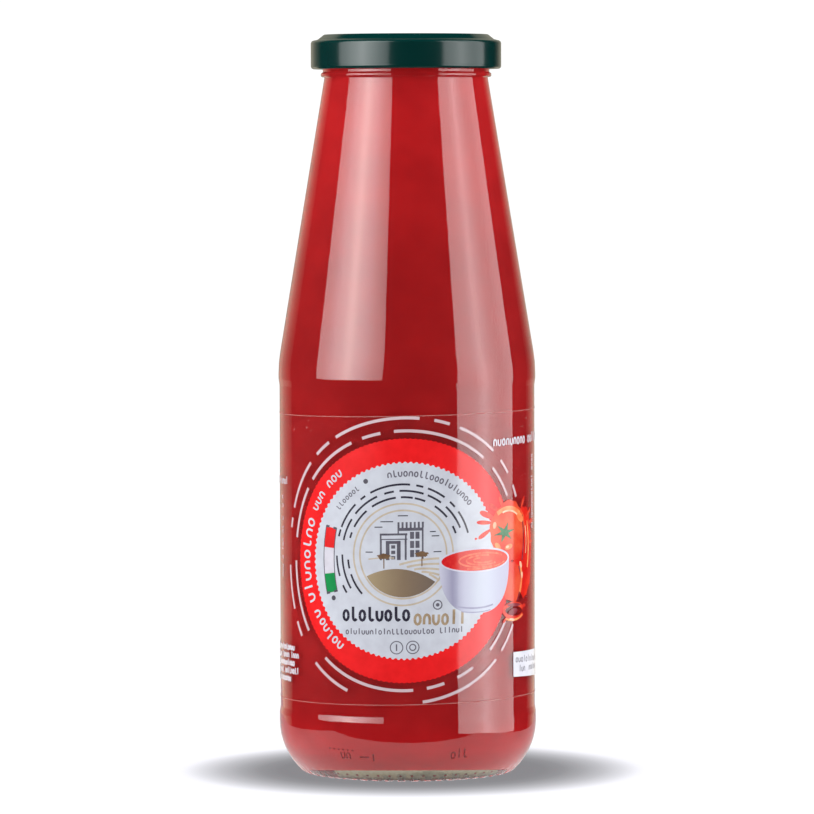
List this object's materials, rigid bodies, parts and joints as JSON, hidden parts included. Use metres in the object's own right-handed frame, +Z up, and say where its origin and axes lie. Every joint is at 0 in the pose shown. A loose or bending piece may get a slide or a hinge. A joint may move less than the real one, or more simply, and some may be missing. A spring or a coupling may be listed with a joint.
{
  "type": "passata bottle",
  "caption": "Sealed clear glass bottle full of tomato passata, with a conical neck, a green twist-off cap and a clear wrap-round film label.",
  "frame": {"origin": "on the bottle's axis, in the plane of the standing ring", "axes": "+Z up along the bottle's axis, -Y out through the middle of the label's front, +X to the label's right"},
  "size_m": [0.0776, 0.0776, 0.2225],
  "materials": {
    "glass": "clear flint glass, polished",
    "passata": "smooth dense tomato sauce behind glass",
    "cap": "gloss dark green lacquer on tinplate",
    "film": "clear gloss label film",
    "print_white": "white label ink",
    "print_red": "bright red label ink",
    "print_gold": "bronze label ink",
    "print_dark": "near-black label ink",
    "print_green": "green label ink"
  },
  "bodies": {
    "root": {"bottle": "glass", "passata": "passata", "cap": "cap", "label": "film"}
  },
  "joints": []
}
